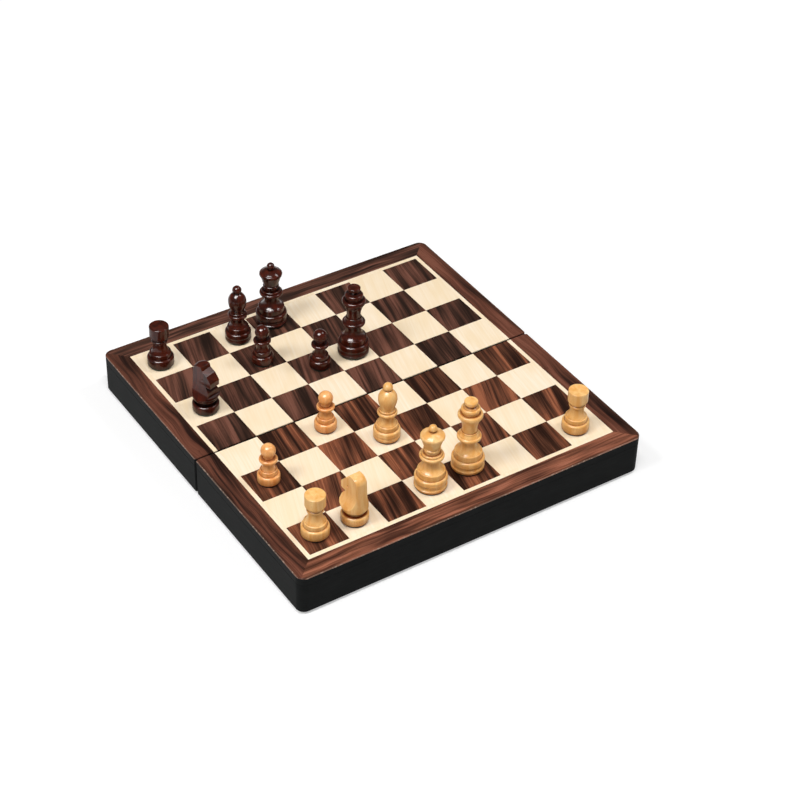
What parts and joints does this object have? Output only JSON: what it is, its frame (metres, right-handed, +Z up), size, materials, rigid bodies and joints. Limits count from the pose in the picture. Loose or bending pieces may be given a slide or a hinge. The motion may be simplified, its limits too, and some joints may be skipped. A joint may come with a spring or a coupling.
{
  "type": "folding chess and backgammon box",
  "caption": "Two shallow wooden trays hinged along one edge, open flat with an inlaid chessboard on top and backgammon points inside, with turned chessmen standing on it",
  "frame": {"origin": "middle of the table area under the open box, level with the lowest point of the hinge knuckles", "axes": "+X runs along the fold from file a to file h, +Y from the light men's side to the dark men's side, +Z up"},
  "size_m": [0.2204, 0.2216, 0.0718],
  "materials": {
    "black_lacquer": "semi-gloss black lacquer over wood",
    "panel_core": "black lacquered edge, plywood core",
    "rosewood": "satin rosewood veneer with dark stripes",
    "maple": "satin maple veneer",
    "field_wood": "satin pale veneer",
    "brown_points": "satin red-brown veneer",
    "grey_points": "satin charcoal veneer",
    "felt_lining": "matt red-brown felt",
    "magnet_nickel": "nickel plated",
    "brass": "satin",
    "steel_pin": "plain",
    "boxwood": "semi-gloss clear lacquer over turned boxwood",
    "dark_stained_wood": "gloss dark red-brown stain over turned wood",
    "base_felt": "matt green felt"
  },
  "bodies": {
    "front_half": {"front_outer_rail": "black_lacquer", "front_fold_rail": "black_lacquer", "front_end_rails": "black_lacquer", "front_panel": "panel_core", "front_border": "rosewood", "front_maple": "maple", "front_rosewood": "rosewood", "front_field": "field_wood", "front_brown_points": "brown_points", "front_grey_points": "grey_points", "front_lining": "felt_lining", "front_magnets": "magnet_nickel", "front_leaves": "brass", "front_screws": "brass", "hinge_pins": "steel_pin"},
    "back_half": {"back_outer_rail": "black_lacquer", "back_fold_rail": "black_lacquer", "back_end_rails": "black_lacquer", "back_panel": "panel_core", "back_border": "rosewood", "back_maple": "maple", "back_rosewood": "rosewood", "back_field": "field_wood", "back_brown_points": "brown_points", "back_grey_points": "grey_points", "back_lining": "felt_lining", "back_magnets": "magnet_nickel", "back_leaves": "brass", "back_screws": "brass"},
    "light_king_e1_man": {"light_king_e1": "boxwood", "light_king_e1_felt": "base_felt"},
    "light_queen_d1_man": {"light_queen_d1": "boxwood", "light_queen_d1_felt": "base_felt"},
    "light_rook_a1_man": {"light_rook_a1": "boxwood", "light_rook_a1_felt": "base_felt"},
    "light_rook_h1_man": {"light_rook_h1": "boxwood", "light_rook_h1_felt": "base_felt"},
    "light_knight_b1_man": {"light_knight_b1": "boxwood", "light_knight_b1_felt": "base_felt"},
    "light_bishop_d3_man": {"light_bishop_d3": "boxwood", "light_bishop_d3_felt": "base_felt"},
    "light_pawn_a3_man": {"light_pawn_a3": "boxwood", "light_pawn_a3_felt": "base_felt"},
    "light_pawn_c4_man": {"light_pawn_c4": "boxwood", "light_pawn_c4_felt": "base_felt"},
    "dark_king_e6_man": {"dark_king_e6": "dark_stained_wood", "dark_king_e6_felt": "base_felt"},
    "dark_queen_d8_man": {"dark_queen_d8": "dark_stained_wood", "dark_queen_d8_felt": "base_felt"},
    "dark_rook_a8_man": {"dark_rook_a8": "dark_stained_wood", "dark_rook_a8_felt": "base_felt"},
    "dark_knight_a6_man": {"dark_knight_a6": "dark_stained_wood", "dark_knight_a6_felt": "base_felt"},
    "dark_bishop_c8_man": {"dark_bishop_c8": "dark_stained_wood", "dark_bishop_c8_felt": "base_felt"},
    "dark_pawn_c7_man": {"dark_pawn_c7": "dark_stained_wood", "dark_pawn_c7_felt": "base_felt"},
    "dark_pawn_d6_man": {"dark_pawn_d6": "dark_stained_wood", "dark_pawn_d6_felt": "base_felt"}
  },
  "joints": [
    {"name": "fold", "type": "hinge", "parent": "front_half", "child": "back_half", "pos_m": [0, 0, 0.0013], "axis": [-1, 0, 0], "range_deg": [0, 180]},
    {"name": "light_king_e1_lift", "type": "slide", "parent": "front_half", "child": "light_king_e1_man", "axis": [0, 0, 1], "range_m": [0, 0.06]},
    {"name": "light_queen_d1_lift", "type": "slide", "parent": "front_half", "child": "light_queen_d1_man", "axis": [0, 0, 1], "range_m": [0, 0.06]},
    {"name": "light_rook_a1_lift", "type": "slide", "parent": "front_half", "child": "light_rook_a1_man", "axis": [0, 0, 1], "range_m": [0, 0.06]},
    {"name": "light_rook_h1_lift", "type": "slide", "parent": "front_half", "child": "light_rook_h1_man", "axis": [0, 0, 1], "range_m": [0, 0.06]},
    {"name": "light_knight_b1_lift", "type": "slide", "parent": "front_half", "child": "light_knight_b1_man", "axis": [0, 0, 1], "range_m": [0, 0.06]},
    {"name": "light_bishop_d3_lift", "type": "slide", "parent": "front_half", "child": "light_bishop_d3_man", "axis": [0, 0, 1], "range_m": [0, 0.06]},
    {"name": "light_pawn_a3_lift", "type": "slide", "parent": "front_half", "child": "light_pawn_a3_man", "axis": [0, 0, 1], "range_m": [0, 0.06]},
    {"name": "light_pawn_c4_lift", "type": "slide", "parent": "front_half", "child": "light_pawn_c4_man", "axis": [0, 0, 1], "range_m": [0, 0.06]},
    {"name": "dark_king_e6_lift", "type": "slide", "parent": "back_half", "child": "dark_king_e6_man", "axis": [0, 0, 1], "range_m": [0, 0.06]},
    {"name": "dark_queen_d8_lift", "type": "slide", "parent": "back_half", "child": "dark_queen_d8_man", "axis": [0, 0, 1], "range_m": [0, 0.06]},
    {"name": "dark_rook_a8_lift", "type": "slide", "parent": "back_half", "child": "dark_rook_a8_man", "axis": [0, 0, 1], "range_m": [0, 0.06]},
    {"name": "dark_knight_a6_lift", "type": "slide", "parent": "back_half", "child": "dark_knight_a6_man", "axis": [0, 0, 1], "range_m": [0, 0.06]},
    {"name": "dark_bishop_c8_lift", "type": "slide", "parent": "back_half", "child": "dark_bishop_c8_man", "axis": [0, 0, 1], "range_m": [0, 0.06]},
    {"name": "dark_pawn_c7_lift", "type": "slide", "parent": "back_half", "child": "dark_pawn_c7_man", "axis": [0, 0, 1], "range_m": [0, 0.06]},
    {"name": "dark_pawn_d6_lift", "type": "slide", "parent": "back_half", "child": "dark_pawn_d6_man", "axis": [0, 0, 1], "range_m": [0, 0.06]}
  ]
}
